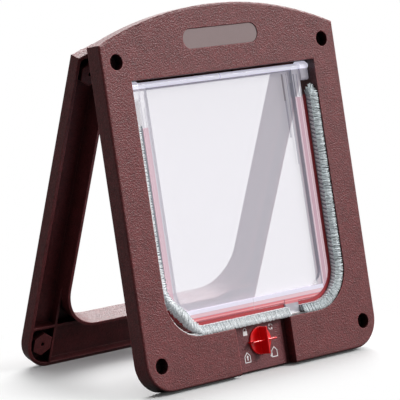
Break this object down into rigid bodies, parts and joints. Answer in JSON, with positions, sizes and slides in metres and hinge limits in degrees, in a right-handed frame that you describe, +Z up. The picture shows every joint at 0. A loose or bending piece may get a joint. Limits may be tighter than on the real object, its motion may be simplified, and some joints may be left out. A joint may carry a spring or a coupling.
{
  "type": "cat flap",
  "caption": "Four-way locking cat flap: arched front frame with clear swinging flap, brush seals and rotary lock, and its trim frame leaning against it.",
  "frame": {"origin": "on the floor, at the centre of the footprint of the two leaning halves", "axes": "+Z up, -Y towards the side with the lock knob, +X to the right as that side is looked at"},
  "size_m": [0.225, 0.1472, 0.2606],
  "materials": {
    "brown_plastic": "leather grain",
    "badge_inlay": "satin",
    "red_plastic": "gloss",
    "clear_plastic": "clear, slightly milky",
    "red_strip": "satin",
    "pile": "woven pile",
    "magnet": "bare",
    "screw_steel": "zinc plated"
  },
  "bodies": {
    "frame": {"front_frame": "brown_plastic", "rear_frame": "brown_plastic", "badge_plate": "badge_inlay", "lock_cover": "brown_plastic", "frame_magnet": "magnet", "magnet_cap": "brown_plastic", "pivot_clip_left": "brown_plastic", "pivot_clip_right": "brown_plastic"},
    "flap": {"flap_panel": "clear_plastic", "seal_strip_left": "red_strip", "seal_strip_right": "red_strip", "brush_left": "pile", "brush_right": "pile", "flap_magnet": "magnet"},
    "lock": {"lock_knob": "red_plastic", "lock_cam": "red_plastic", "cam_screw": "screw_steel"}
  },
  "joints": [
    {"name": "flap_swing", "type": "hinge", "parent": "frame", "child": "flap", "pos_m": [0, -0.02742, 0.20835], "axis": [1, 0, 0], "range_deg": [-85, 65]},
    {"name": "lock_turn", "type": "hinge", "parent": "frame", "child": "lock", "pos_m": [0, -0.06227, 0.02157], "axis": [0, -0.984, 0.1783], "range_deg": [0, 270]}
  ]
}
